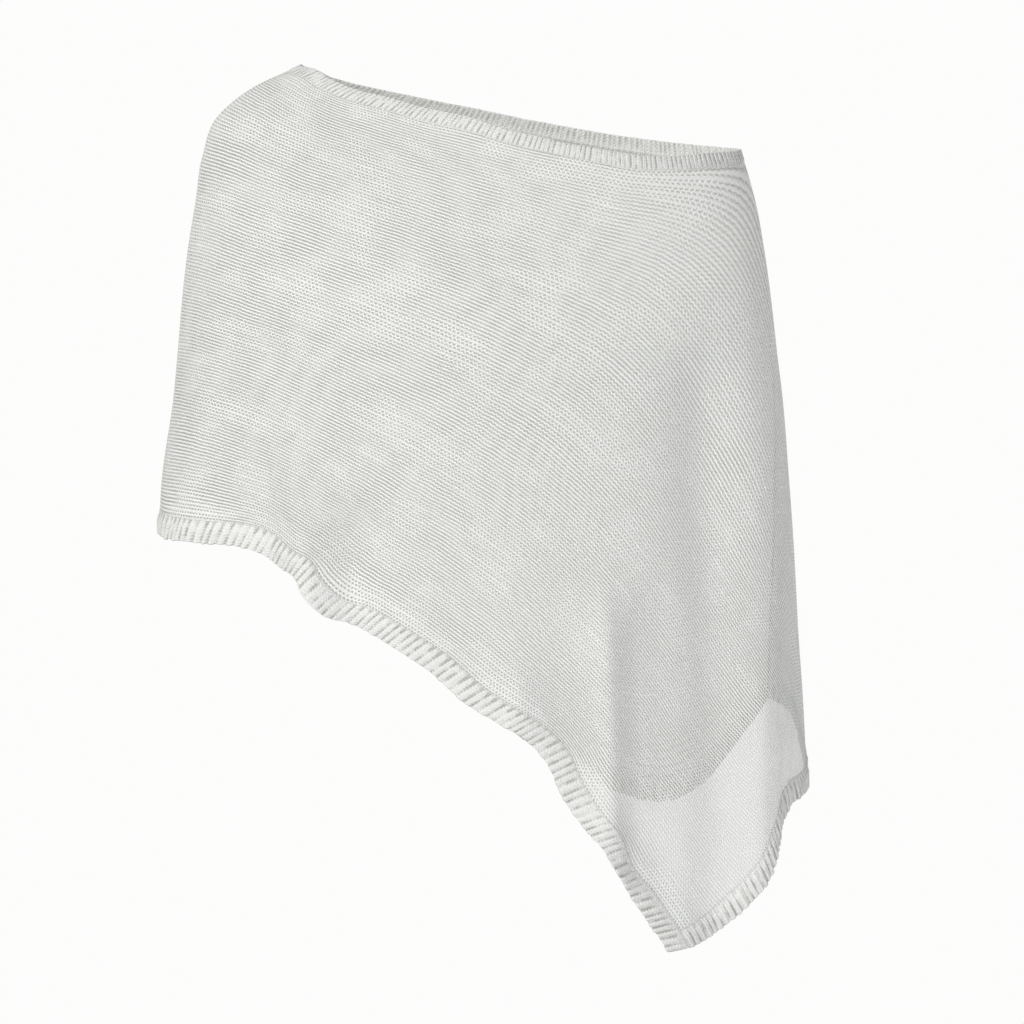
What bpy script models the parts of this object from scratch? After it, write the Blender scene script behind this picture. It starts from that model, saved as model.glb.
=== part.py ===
"""A sheer knit poncho cover-up, as it hangs when worn off one shoulder.

One knitted strip makes the garment. It passes across the back, over the held shoulder and down
across the front to the far arm, where its upper edge turns down and meets its own first end in
the side seam. So the hem has one corner, low at the front of the far arm.

Metres, +X to the far arm, -Y to the front, +Z up. The origin is on top of the held shoulder,
where the neck edge rests. Tables are in millimetres and degrees.

The hanging cloth is a hollow form, given by level sections: each is a round loop through its
left, right, front and back. A place on it is a turn, from 0 at the held side over 90 at the
front and 180 at the far side to 270 at the back, and a height. Long soft folds stand out of that
form or sink into it, and each piece is a sheet laid on it between two of the garment's edges.
"""

from collections import namedtuple

import bmesh
import bpy
import numpy as np

MM = 0.001

# Cloth
WALL = 1.3 * MM
RIB_RISE = 1.0 * MM
RIB_START = 0.5
SCALLOP = 1.1 * MM
SEAM_GAP = 0.3 * MM
NECK_RIB_DEPTH = 12.0 * MM
HEM_RIB_DEPTH = 18.0 * MM
END_RIB_DEPTH = 16.0 * MM
NECK_RIB_PITCH = 4.1 * MM
HEM_RIB_PITCH = 7.0 * MM
END_RIB_PITCH = 6.2 * MM

# How finely the sheets are divided
FRONT_NECK_COLUMNS = 22
FRONT_SEAM_COLUMNS = 22
BACK_COLUMNS = 30
FRONT_ROWS = 20
BACK_ROWS = 18

# How finely lines are measured on the form
EDGE_STEPS = 600
WALE_STEPS = 240
DROP_STEPS = 60
BAND_STEPS = 40
PLACE_ROUNDS = 25

# The edges below are written as they look from straight in front at this distance, level with
# the middle of the garment, in the plane of the shoulders.
VIEW_DISTANCE = 2.6
EYE_X = 167.2 * MM
EYE_Z = -356.8 * MM

Section = namedtuple("Section", "height left right front back")
SECTIONS = (
    Section(12, 26, 268, 30, 26),
    Section(0, 0, 302, 38, 34),
    Section(-15, -34, 322, 52, 46),
    Section(-37, -64, 338, 71, 62),
    Section(-74, -80, 351, 93, 80),
    Section(-108, -85, 361, 108, 92),
    Section(-146, -91, 368, 120, 100),
    Section(-190, -96, 374, 130, 106),
    Section(-226, -99, 378, 133, 108),
    Section(-268, -103, 383, 132, 108),
    Section(-331, -112, 388, 128, 106),
    Section(-372, -114, 391, 127, 107),
    Section(-443, -117, 395, 129, 112),
    Section(-521, -119, 400, 135, 118),
    Section(-570, -120, 402, 140, 121),
    Section(-640, -120, 403, 146, 124),
    Section(-730, -120, 403, 150, 126),
)

Seen = namedtuple("Seen", "x z side")
FRONT, BACK = 1, -1

NECK_FRONT = (
    Seen(9, -3, FRONT),
    Seen(24, -12, FRONT),
    Seen(41, -19, FRONT),
    Seen(69, -26, FRONT),
    Seen(97, -34, FRONT),
    Seen(134, -42, FRONT),
    Seen(163, -51, FRONT),
    Seen(206, -61, FRONT),
    Seen(238, -67, FRONT),
    Seen(268, -72, FRONT),
    Seen(298, -72, FRONT),
    Seen(324, -70, FRONT),
)
NECK_BACK = (
    Seen(9, -3, BACK),
    Seen(24, -10, BACK),
    Seen(60, -19, BACK),
    Seen(120, -31, BACK),
    Seen(190, -45, BACK),
    Seen(260, -57, BACK),
    Seen(320, -64, BACK),
)
HEM_FRONT = (
    Seen(-86, -381, FRONT),
    Seen(-72, -382, FRONT),
    Seen(-55, -384, FRONT),
    Seen(-35, -391, FRONT),
    Seen(-17, -402, FRONT),
    Seen(-4, -410, FRONT),
    Seen(4, -426, FRONT),
    Seen(16, -439, FRONT),
    Seen(40, -447, FRONT),
    Seen(80, -470, FRONT),
    Seen(101, -484, FRONT),
    Seen(129, -509, FRONT),
    Seen(153, -524, FRONT),
    Seen(176, -538, FRONT),
    Seen(195, -558, FRONT),
    Seen(206, -582, FRONT),
    Seen(221, -605, FRONT),
    Seen(238, -626, FRONT),
    Seen(249, -646, FRONT),
    Seen(273, -678, FRONT),
    Seen(295, -709, FRONT),
)
HEM_BACK = (
    Seen(-90, -374, BACK),
    Seen(-42, -384, BACK),
    Seen(0, -403, BACK),
    Seen(38, -432, BACK),
    Seen(118, -492, BACK),
    Seen(206, -558, BACK),
    Seen(246, -579, BACK),
    Seen(286, -588, BACK),
    Seen(321, -575, BACK),
    Seen(348, -543, BACK),
)
FREE_END = (
    Seen(390, -519, BACK),
    Seen(398, -546, BACK),
    Seen(402, -569, FRONT),
    Seen(389, -594, FRONT),
    Seen(378, -623, FRONT),
    Seen(370, -649, FRONT),
    Seen(356, -672, FRONT),
    Seen(334, -694, FRONT),
    Seen(313, -705, FRONT),
)
Place = namedtuple("Place", "turn height")
SIDE_SEAM = (
    Place(185, -150),
    Place(191, -240),
    Place(197, -330),
    Place(202, -420),
    Place(206, -508),
)
HELD_SIDE_HEM = -372 * MM
FAR_POINT = -67 * MM
NORMAL_TURN = 0.5
NORMAL_DROP = 1.0 * MM
BEND_START = 0.3
SHARP_FROM = 40

# Where a wale of the front leaves the upper edge, as a share of the neck edge and then, past 1,
# of the side seam, and where it meets the hem, as a share of the hem's length.
Tie = namedtuple("Tie", "upper hem")
FRONT_TIES = (
    Tie(0.0, 0.0),
    Tie(0.35, 0.16),
    Tie(0.7, 0.30),
    Tie(1.0, 0.44),
    Tie(1.25, 0.575),
    Tie(1.5, 0.71),
    Tie(1.75, 0.855),
    Tie(2.0, 1.0),
)

# Ridges stand out and troughs sink in. Each starts to rise at its top and leads through its low
# place. FOLD_FADE and FOLD_END are shares of the way between the two: over the first a fold comes
# and goes, and at the second it is gone.
Fold = namedtuple("Fold", "top_turn top_height low_turn low_height half_width rise")
FOLDS = (
    Fold(52, -170, 42, -450, 32, -11),
    Fold(33, -150, 20, -420, 26, 4),
    Fold(61, -330, 58, -470, 20, 7),
    Fold(70, -330, 70, -480, 20, -6),
    Fold(96, -430, 98, -590, 24, 4),
    Fold(113, -400, 112, -650, 21, 6),
    Fold(123, -360, 122, -680, 22, -5),
    Fold(137, -190, 135, -640, 30, -11),
    Fold(153, -130, 152, -620, 30, 5),
    Fold(166, -420, 160, -610, 20, -4),
    Fold(201, -160, 206, -520, 26, 4),
    Fold(220, -170, 223, -560, 32, -9),
    Fold(242, -210, 246, -590, 32, 6),
    Fold(261, -260, 265, -560, 28, -6),
    Fold(283, -200, 285, -500, 30, 6),
    Fold(304, -210, 306, -470, 28, -8),
    Fold(324, -170, 326, -420, 26, 5),
    Fold(342, -190, 342, -400, 24, -4),
)
FOLD_FADE = 0.28
FOLD_END = 1.6

Cloth = namedtuple("Cloth", "colour roughness")
PANEL_YARN = Cloth((0.86, 0.87, 0.86, 1.0), 0.85)
RIB_YARN = Cloth((0.90, 0.91, 0.90, 1.0), 0.80)


def smooth(places, values, where):
    """Values along a smooth curve through the given ones, which pass each place in turn."""
    places = np.asarray(places, float)
    values = np.asarray(values, float)
    slopes = np.gradient(values, places)
    where = np.clip(where, places[0], places[-1])
    at = np.clip(np.searchsorted(places, where, side="right") - 1, 0, len(places) - 2)
    span = places[at + 1] - places[at]
    part = (where - places[at]) / span
    rise = values[at + 1] - values[at]
    curve = part * part * (3 - 2 * part) * rise
    lead = part * (1 - part) ** 2 * slopes[at] * span
    trail = part * part * (1 - part) * slopes[at + 1] * span
    return values[at] + curve + lead - trail


def section_sizes(height):
    """The left, right, front and back of the form at a height, in metres."""
    rows = sorted(SECTIONS)
    levels = [row.height * MM for row in rows]
    columns = ("left", "right", "front", "back")
    return [smooth(levels, [getattr(row, name) * MM for row in rows], height) for name in columns]


def fold_rise(turn, height, width, depth):
    """How far the folds stand out of the form."""
    rise = np.zeros(np.shape(turn))
    for fold in FOLDS:
        top, low = fold.top_height * MM, fold.low_height * MM
        down = np.clip((top - height) / (top - low), -1.0, 2.0)
        middle = np.radians(fold.top_turn + (fold.low_turn - fold.top_turn) * down)
        reach = np.radians(turn) - middle
        across = reach * np.hypot(width * np.sin(middle), depth * np.cos(middle))
        inside = np.clip(np.minimum(down / FOLD_FADE, (FOLD_END - down) / FOLD_FADE), 0.0, 1.0)
        fade = inside * inside * (3 - 2 * inside)
        rise = rise + fold.rise * MM * fade * np.exp(-((across / (fold.half_width * MM)) ** 2))
    return rise


def form_point(turn, height):
    """The point of the hanging cloth's inner face at a turn and a height."""
    turn, height = np.broadcast_arrays(np.asarray(turn, float), np.asarray(height, float))
    left, right, front, back = section_sizes(height)
    angle = np.radians(turn)
    width = (right - left) / 2
    depth = np.where(np.sin(angle) >= 0, front, back)
    x = (left + right) / 2 - width * np.cos(angle)
    y = -depth * np.sin(angle)
    out_x, out_y = -np.cos(angle) * depth, -np.sin(angle) * width
    size = np.hypot(out_x, out_y)
    rise = fold_rise(turn, height, width, depth)
    return np.stack([x + rise * out_x / size, y + rise * out_y / size, height], axis=-1)


def form_rows(places):
    """Rows of the form's points with the outward direction there, six numbers for each place."""
    turn, height = places[..., 0], places[..., 1]
    round_form = form_point(turn + NORMAL_TURN, height) - form_point(turn - NORMAL_TURN, height)
    down_form = form_point(turn, height - NORMAL_DROP) - form_point(turn, height + NORMAL_DROP)
    outward = np.cross(down_form, round_form)
    outward = outward / np.linalg.norm(outward, axis=-1, keepdims=True)
    return np.concatenate([form_point(turn, height), outward], axis=-1)


def place_of(seen):
    """The turn and height of the point of the form that is seen at the given place."""
    distance = 0.0
    turn, height = 180.0, seen.z * MM
    for _ in range(PLACE_ROUNDS):
        nearness = 1 + distance / VIEW_DISTANCE
        x = EYE_X + (seen.x * MM - EYE_X) * nearness
        height = EYE_Z + (seen.z * MM - EYE_Z) * nearness
        left, right = section_sizes(height)[:2]
        across = np.clip(((left + right) / 2 - x) / ((right - left) / 2), -1.0, 1.0)
        turn = np.degrees(np.arccos(across))
        turn = turn if seen.side == FRONT else 360 - turn
        distance = form_point(turn, height)[1]
    return float(turn), float(height)


def below(place, distance):
    """The place straight down the cloth from another, at a distance measured on the cloth."""
    turn, height = place
    drops = np.linspace(0, 1.5 * distance, DROP_STEPS)
    steps = np.diff(form_point(turn, height - drops), axis=0)
    walked = np.concatenate([[0.0], np.cumsum(np.linalg.norm(steps, axis=1))])
    return turn, height - float(np.interp(distance, walked, drops))


class Edge:
    """A smooth line on the form through some places, read by the share of its length."""

    def __init__(self, places):
        places = np.asarray(places, float)
        steps = np.linalg.norm(np.diff(form_point(places[:, 0], places[:, 1]), axis=0), axis=1)
        marks = np.concatenate([[0.0], np.cumsum(steps)])
        fine = np.linspace(0, marks[-1], EDGE_STEPS)
        self.places = np.stack([smooth(marks, places[:, k], fine) for k in (0, 1)], axis=-1)
        points = form_point(self.places[:, 0], self.places[:, 1])
        walked = np.cumsum(np.linalg.norm(np.diff(points, axis=0), axis=1))
        self.length = float(walked[-1])
        self.shares = np.concatenate([[0.0], walked]) / self.length

    def at(self, share):
        """The turn and height at a share of the length."""
        return np.stack([np.interp(share, self.shares, self.places[:, k]) for k in (0, 1)], axis=-1)


class Strip:
    """Cloth between an upper edge and a hem, laid out in wales, the lines that join the two.

    upper and hem read a place by the share of the strip's columns. The last wale follows its own
    edge, and those before it bend less and less.
    """

    def __init__(self, upper, hem, last_edge):
        self.upper = upper
        self.hem = hem
        self.last_edge = last_edge

    def wale(self, column):
        """The places down one wale, and how far along the cloth each one lies."""
        part = np.linspace(0, 1, WALE_STEPS)[:, None]
        straight = (1 - part) * self.upper(column) + part * self.hem(column)
        last = (1 - part) * self.upper(1.0) + part * self.hem(1.0)
        bend = self.last_edge.at(part[:, 0]) - last
        share = np.clip((column - BEND_START) / (1 - BEND_START), 0.0, 1.0)
        places = straight + share**2 * bend
        line = form_point(places[:, 0], places[:, 1])
        steps = np.linalg.norm(np.diff(line, axis=0), axis=1)
        return places, np.concatenate([[0.0], np.cumsum(steps)])

    def grid(self, columns, rows, band):
        """Rows of points from the upper edge to the band along the hem, and then the hem itself."""
        found = []
        for column in columns:
            places, walked = self.wale(column)
            marks = np.append(np.linspace(0, walked[-1] - band, rows), walked[-1])
            found.append(np.stack([np.interp(marks, walked, places[:, k]) for k in (0, 1)], axis=-1))
        return form_rows(np.stack(found, axis=1))


def towards(points, others, distance):
    """Points moved towards others by a distance, with their outward directions between the two."""
    steps = others - points
    size = np.linalg.norm(steps[..., :3], axis=-1, keepdims=True)
    return points + steps * (distance / size)


def parted(line, others):
    """A line of points moved square to itself, in the cloth, to lie a seam's gap nearer others."""
    runs = np.diff(line[:, :3], axis=0)
    runs = runs / np.linalg.norm(runs, axis=1, keepdims=True)
    both = np.concatenate([runs[:1], runs]) + np.concatenate([runs, runs[-1:]])
    bisector = np.linalg.norm(both, axis=1, keepdims=True)
    side = np.cross(line[:, 3:], both / bisector)
    side = side / np.linalg.norm(side, axis=1, keepdims=True)
    side = side * np.sign(np.sum(side * (others - line)[:, :3], axis=1, keepdims=True))
    moved = line.copy()
    moved[:, :3] += side * SEAM_GAP * 2 / bisector
    return moved


def along(line, shares):
    """Points read from a line of points at shares of its steps, on the straight runs between."""
    marks = np.linspace(0, 1, len(line))
    return np.stack([np.interp(shares, marks, line[:, k]) for k in range(6)], axis=-1)


def rib_grid(seam_line, free_line, pitch):
    """Two rows of points for a ribbed band, and the share of a rib's rise at each.

    The band's free edge is scalloped: it reaches further at each rib than between two.
    """
    lengths = np.linalg.norm(np.diff(free_line[:, :3], axis=0), axis=1)
    ribs = int(round(lengths.sum() / pitch))
    shares = np.linspace(0, 1, 2 * ribs + 1)
    walked = np.concatenate([[0.0], np.cumsum(lengths)]) / lengths.sum()
    shares = np.interp(shares, walked, np.linspace(0, 1, len(free_line)))
    raised = np.arange(len(shares)) % 2
    seam_side, free_side = along(seam_line, shares), along(free_line, shares)
    free_side = towards(free_side, seam_side, -SCALLOP * raised[:, None])
    return np.stack([free_side, seam_side]), np.stack([raised, RIB_START * raised])


def sheet_object(name, grid, cloth, collection, raised=None):
    """A wall on a grid of points and outward directions, with its ribs raised on the outside."""
    rows, columns = grid.shape[:2]
    sheet = bmesh.new()
    bmesh.ops.create_grid(sheet, x_segments=columns - 1, y_segments=rows - 1, size=1.0)
    outer_point = sheet.verts.layers.float_vector.new("outer_point")
    for vertex in sheet.verts:
        column = round((vertex.co.x + 1) / 2 * (columns - 1))
        row = round((1 - vertex.co.y) / 2 * (rows - 1))
        point, outward = grid[row, column, :3], grid[row, column, 3:]
        rise = WALL if raised is None else WALL + RIB_RISE * raised[row, column]
        vertex.co = point
        vertex[outer_point] = point + rise * outward / np.linalg.norm(outward)
    inner_faces = sheet.faces[:]
    outer = bmesh.ops.extrude_face_region(sheet, geom=inner_faces, use_keep_orig=True)
    for element in outer["geom"]:
        if isinstance(element, bmesh.types.BMVert):
            element.co = element[outer_point]
    bmesh.ops.recalc_face_normals(sheet, faces=sheet.faces)
    sheet.verts.layers.float_vector.remove(outer_point)
    mesh = bpy.data.meshes.new(name)
    sheet.to_mesh(mesh)
    sheet.free()
    mesh.shade_smooth()
    mesh.set_sharp_from_angle(angle=np.radians(SHARP_FROM))
    mesh.materials.append(cloth)
    piece = bpy.data.objects.new(name, mesh)
    collection.objects.link(piece)


def yarn(name, cloth):
    """A plain matt material for knitted yarn."""
    material = bpy.data.materials.new(name)
    material.use_nodes = True
    shader = material.node_tree.nodes["Principled BSDF"]
    shader.inputs["Base Color"].default_value = cloth.colour
    shader.inputs["Roughness"].default_value = cloth.roughness
    shader.inputs["Metallic"].default_value = 0.0
    return material


def neck_edges(rows, held_turn):
    """The neck edge on one side, from the held shoulder to the far point, and its band's lower one."""
    places = [(held_turn, 0.0)] + [place_of(row) for row in rows] + [(180.0, FAR_POINT)]
    top = Edge(places)
    shares = np.linspace(0, 1, BAND_STEPS + 1)
    lower = Edge([below(top.at(share), NECK_RIB_DEPTH) for share in shares])
    return top, lower


def neck_lines(top, lower, columns):
    """The seam side and the free side of the neck band on one side."""
    marks = np.linspace(0, 1, columns + 1)
    free_line = form_rows(top.at(marks))
    return parted(form_rows(lower.at(marks)), free_line), free_line


def front_pieces(seam, cloths, collection):
    """The front, which wraps the far arm to the side seam, with its neck, hem and end bands."""
    top, lower = neck_edges(NECK_FRONT, 0.0)
    hem = Edge([(0.0, HELD_SIDE_HEM)] + [place_of(row) for row in HEM_FRONT])
    free_end = Edge([seam.at(1.0)] + [place_of(row) for row in FREE_END] + [hem.at(1.0)])
    tie_uppers = [tie.upper / 2 for tie in FRONT_TIES]
    tie_hems = [tie.hem for tie in FRONT_TIES]

    def upper_place(column):
        return lower.at(2 * column) if column <= 0.5 else seam.at(2 * column - 1)

    def hem_place(column):
        return hem.at(smooth(tie_uppers, tie_hems, column))

    strip = Strip(upper_place, hem_place, free_end)
    neck_columns = np.linspace(0, 0.5, FRONT_NECK_COLUMNS + 1)
    seam_columns = np.linspace(0.5, 1, FRONT_SEAM_COLUMNS + 1)[1:]
    grid = strip.grid(np.concatenate([neck_columns, seam_columns]), FRONT_ROWS, HEM_RIB_DEPTH)
    grid[:, -2] = towards(grid[:, -1], grid[:, -2], END_RIB_DEPTH)
    panel = grid[:-1, :-1].copy()
    panel[-1] = parted(panel[-1], panel[-2])
    panel[:, -1] = parted(panel[:, -1], panel[:, -2])
    end_lines = grid[:-1, -2:].copy()
    end_lines[-1] = parted(end_lines[-1], end_lines[-2])
    sheet_object("front_panel", panel, cloths["panel"], collection)
    band, raised = rib_grid(*neck_lines(top, lower, FRONT_NECK_COLUMNS), NECK_RIB_PITCH)
    sheet_object("neck_rib_front", band, cloths["rib"], collection, raised)
    band, raised = rib_grid(grid[-2], grid[-1], HEM_RIB_PITCH)
    sheet_object("hem_rib_front", band, cloths["rib"], collection, raised)
    band, raised = rib_grid(end_lines[:, 0], end_lines[:, 1], END_RIB_PITCH)
    sheet_object("end_rib", band, cloths["rib"], collection, raised)


def back_pieces(seam, cloths, collection):
    """The back, from the held side to the side seam, with its neck and hem bands."""
    top, lower = neck_edges(NECK_BACK, 360.0)
    hem = Edge([(360.0, HELD_SIDE_HEM)] + [place_of(row) for row in HEM_BACK] + [seam.at(1.0)])
    strip = Strip(lower.at, hem.at, seam)
    grid = strip.grid(np.linspace(0, 1, BACK_COLUMNS + 1), BACK_ROWS, HEM_RIB_DEPTH)
    seam_line = form_rows(seam.at(np.linspace(0, 1, FRONT_SEAM_COLUMNS + 1)))
    rows = np.append(np.linspace(0, 1 - HEM_RIB_DEPTH / seam.length, BACK_ROWS), 1.0)
    grid[:, -1] = along(seam_line, rows)
    grid[:, 0] = parted(grid[:, 0], grid[:, 1])
    grid[:, -1] = parted(grid[:, -1], grid[:, -2])
    panel = grid[:-1].copy()
    panel[-1] = parted(panel[-1], panel[-2])
    sheet_object("back_panel", panel, cloths["panel"], collection)
    neck = neck_lines(top, lower, BACK_COLUMNS)
    for line in neck:
        line[0] = towards(line[0], line[1], SEAM_GAP)
        line[-1] = towards(line[-1], line[-2], SEAM_GAP)
    band, raised = rib_grid(*neck, NECK_RIB_PITCH)
    sheet_object("neck_rib_back", band, cloths["rib"], collection, raised)
    band, raised = rib_grid(grid[-2], grid[-1], HEM_RIB_PITCH)
    sheet_object("hem_rib_back", band, cloths["rib"], collection, raised)


def main():
    """Build the garment's pieces in an empty scene."""
    for old in list(bpy.data.objects):
        bpy.data.objects.remove(old)
    collection = bpy.data.collections.new("knit_poncho")
    bpy.context.scene.collection.children.link(collection)
    cloths = {"panel": yarn("knit_white", PANEL_YARN), "rib": yarn("rib_white", RIB_YARN)}
    seam_top = below((180.0, FAR_POINT), NECK_RIB_DEPTH)
    seam = Edge([seam_top] + [(row.turn, row.height * MM) for row in SIDE_SEAM])
    front_pieces(seam, cloths, collection)
    back_pieces(seam, cloths, collection)


if __name__ == "__main__":
    main()
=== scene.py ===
"""A sheer knit poncho cover-up, dressed in its yarn, as it hangs when worn off one shoulder.

One knitted strip makes the garment: it passes across the back, over the held shoulder and down
across the front to the far arm. Both long edges and the free end are ribbed, and the other end
is sewn to the upper edge down the back of the far arm.

Metres, +X to the far arm, -Y to the front, +Z up. Tables are in millimetres and degrees. A place
on the hanging cloth is a turn, from 0 at the held side over 90 at the front and 180 at the far
side to 270 at the back, and a height.
"""

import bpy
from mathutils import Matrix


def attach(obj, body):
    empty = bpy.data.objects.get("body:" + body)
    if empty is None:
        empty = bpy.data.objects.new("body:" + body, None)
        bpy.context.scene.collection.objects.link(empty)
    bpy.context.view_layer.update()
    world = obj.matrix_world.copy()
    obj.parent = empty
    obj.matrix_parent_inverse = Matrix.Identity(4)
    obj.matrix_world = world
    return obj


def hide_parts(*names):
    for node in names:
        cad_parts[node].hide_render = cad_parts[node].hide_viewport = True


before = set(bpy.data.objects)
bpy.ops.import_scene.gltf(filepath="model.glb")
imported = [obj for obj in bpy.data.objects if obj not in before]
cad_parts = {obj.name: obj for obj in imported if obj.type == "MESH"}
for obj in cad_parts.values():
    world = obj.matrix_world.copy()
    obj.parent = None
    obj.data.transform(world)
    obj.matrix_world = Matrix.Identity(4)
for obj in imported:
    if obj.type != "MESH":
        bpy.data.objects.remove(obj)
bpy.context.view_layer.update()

import logging
import math
from dataclasses import dataclass, field
from enum import Enum
from typing import Callable, Sequence

import bmesh
import bpy
import numpy as np
from mathutils import Vector

LOG = logging.getLogger("knit_poncho")
MM = 0.001
BODY = "root"
BAKE_MARGIN = 0.004
# The level camera of the photograph.
VIEW_DISTANCE = 2.6
EYE_X = 167.2 * MM
EYE_Z = -356.8 * MM
MEETING = 0.001 * MM
TINY = 1e-9

Array = np.ndarray
Socket = bpy.types.NodeSocket
Colour = tuple[float, float, float, float]
Place = tuple[float, float, float]


class Side(Enum):
    """The side of the garment that a seen place is on."""

    FRONT = 1
    BACK = -1


@dataclass(frozen=True)
class Section:
    """A level round loop of the hanging form."""

    height: float
    left: float
    right: float
    front: float
    back: float


@dataclass(frozen=True)
class Seen:
    """A place of an edge as it looks from straight in front."""

    x: float
    z: float
    side: Side


def seen_places(side: Side, *places: tuple[float, float]) -> tuple[Seen, ...]:
    """Places of an edge that are all on one side."""
    return tuple(Seen(x, z, side) for x, z in places)


@dataclass(frozen=True)
class Fold:
    """A long soft ridge, or a trough where its rise is negative."""

    top_turn: float
    top_height: float
    low_turn: float
    low_height: float
    half_width: float
    rise: float


@dataclass(frozen=True)
class Slope:
    """How steeply the courses fall to the right at a place of the front, as seen from in front."""

    x: float
    z: float
    degrees: float


@dataclass(frozen=True)
class Tie:
    """Where a wale leaves the upper edge and where it meets the hem, as shares of the two."""

    upper: float
    hem: float


@dataclass(frozen=True)
class Lamp:
    """A soft square light."""

    name: str
    at: Place
    size: float
    power: float
    colour: Place


SECTIONS = (
    Section(12, 26, 268, 30, 26),
    Section(0, 0, 302, 38, 34),
    Section(-15, -34, 322, 52, 46),
    Section(-37, -64, 338, 71, 62),
    Section(-74, -80, 351, 93, 80),
    Section(-108, -85, 361, 108, 92),
    Section(-146, -91, 368, 120, 100),
    Section(-190, -96, 374, 130, 106),
    Section(-226, -99, 378, 133, 108),
    Section(-268, -103, 383, 132, 108),
    Section(-331, -112, 388, 128, 106),
    Section(-372, -114, 391, 127, 107),
    Section(-443, -117, 395, 129, 112),
    Section(-521, -119, 400, 135, 118),
    Section(-570, -120, 402, 140, 121),
    Section(-640, -120, 403, 146, 124),
    Section(-730, -120, 403, 150, 126),
)
NECK_FRONT = seen_places(
    Side.FRONT,
    (9, -3), (24, -12), (41, -19), (69, -26), (97, -34), (134, -42), (163, -51), (206, -61),
    (238, -67), (268, -72), (298, -72), (324, -70),
)
NECK_BACK = seen_places(
    Side.BACK,
    (9, -3), (24, -10), (60, -19), (120, -31), (190, -45), (260, -57), (320, -64),
)
HEM_FRONT = seen_places(
    Side.FRONT,
    (-86, -381), (-72, -382), (-55, -384), (-35, -391), (-17, -402), (-4, -410), (4, -426),
    (16, -439), (40, -447), (80, -470), (101, -484), (129, -509), (153, -524), (176, -538),
    (195, -558), (206, -582), (221, -605), (238, -626), (249, -646), (273, -678), (295, -709),
)
HEM_BACK = seen_places(
    Side.BACK,
    (-90, -374), (-42, -384), (0, -403), (38, -432), (118, -492), (206, -558), (246, -579),
    (286, -588), (321, -575), (348, -543),
)
FREE_END = (
    *seen_places(
        Side.BACK,
        (390, -519), (398, -546),
    ),
    *seen_places(
        Side.FRONT,
        (402, -569), (389, -594), (378, -623), (370, -649), (356, -672), (334, -694),
        (313, -705),
    ),
)
# Turn and height of the side seam below the neck band.
SIDE_SEAM = ((185, -150), (191, -240), (197, -330), (202, -420), (206, -508))
HELD_SIDE_HEM = -372 * MM
FAR_POINT = -67 * MM
FRONT_TIES = (
    Tie(0.0, 0.0),
    Tie(0.35, 0.16),
    Tie(0.7, 0.30),
    Tie(1.0, 0.44),
    Tie(1.25, 0.575),
    Tie(1.5, 0.71),
    Tie(1.75, 0.855),
    Tie(2.0, 1.0),
)
FOLDS = (
    Fold(52, -170, 42, -450, 32, -11),
    Fold(33, -150, 20, -420, 26, 4),
    Fold(61, -330, 58, -470, 20, 7),
    Fold(70, -330, 70, -480, 20, -6),
    Fold(96, -430, 98, -590, 24, 4),
    Fold(113, -400, 112, -650, 21, 6),
    Fold(123, -360, 122, -680, 22, -5),
    Fold(137, -190, 135, -640, 30, -11),
    Fold(153, -130, 152, -620, 30, 5),
    Fold(166, -420, 160, -610, 20, -4),
    Fold(201, -160, 206, -520, 26, 4),
    Fold(220, -170, 223, -560, 32, -9),
    Fold(242, -210, 246, -590, 32, 6),
    Fold(261, -260, 265, -560, 28, -6),
    Fold(283, -200, 285, -500, 30, 6),
    Fold(304, -210, 306, -470, 28, -8),
    Fold(324, -170, 326, -420, 26, 5),
    Fold(342, -190, 342, -400, 24, -4),
)
# Smaller creases that lie on the folds.
CREASES = (
    Fold(112.5, -400, 112.5, -600, 8, 3.6),
    Fold(118, -420, 117, -600, 10, -2.2),
    Fold(98, -470, 96, -545, 9, 1.8),
    Fold(57, -340, 61, -440, 9, 2.4),
    Fold(47, -300, 52, -400, 9, -2.4),
    Fold(41, -290, 44, -370, 8, 1.6),
    Fold(67, -380, 68, -450, 10, -2.0),
    Fold(148, -470, 146, -600, 9, 1.8),
    Fold(158, -480, 154, -620, 7, -2.8),
    Fold(167, -480, 164, -600, 7, 1.5),
    Fold(25, -250, 22, -350, 11, -1.5),
    Fold(214, -380, 214, -540, 10, -2.4),
    Fold(232, -400, 235, -560, 10, 2.2),
    Fold(255, -380, 257, -540, 11, -2.0),
    Fold(277, -330, 276, -480, 10, 2.2),
    Fold(296, -300, 295, -440, 10, -2.2),
    Fold(315, -260, 313, -390, 10, 2.0),
    Fold(333, -240, 332, -360, 10, -1.8),
)
# How the courses slope over the front, measured at these places and rounded.
SLOPES = (
    Slope(-66, -187, 25),
    Slope(-66, -331, 20),
    Slope(0, -283, 32),
    Slope(0, -350, 36),
    Slope(78, -107, 22),
    Slope(78, -350, 29),
    Slope(174, -187, 24),
    Slope(174, -350, 37),
    Slope(222, -430, 45),
    Slope(270, -290, 50),
    Slope(282, -430, 53),
    Slope(334, -190, 60),
    Slope(334, -270, 62),
    Slope(334, -400, 57),
    Slope(352, -190, 70),
    Slope(370, -430, 60),
    Slope(318, -640, 50),
    Slope(254, -590, 45),
)
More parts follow.
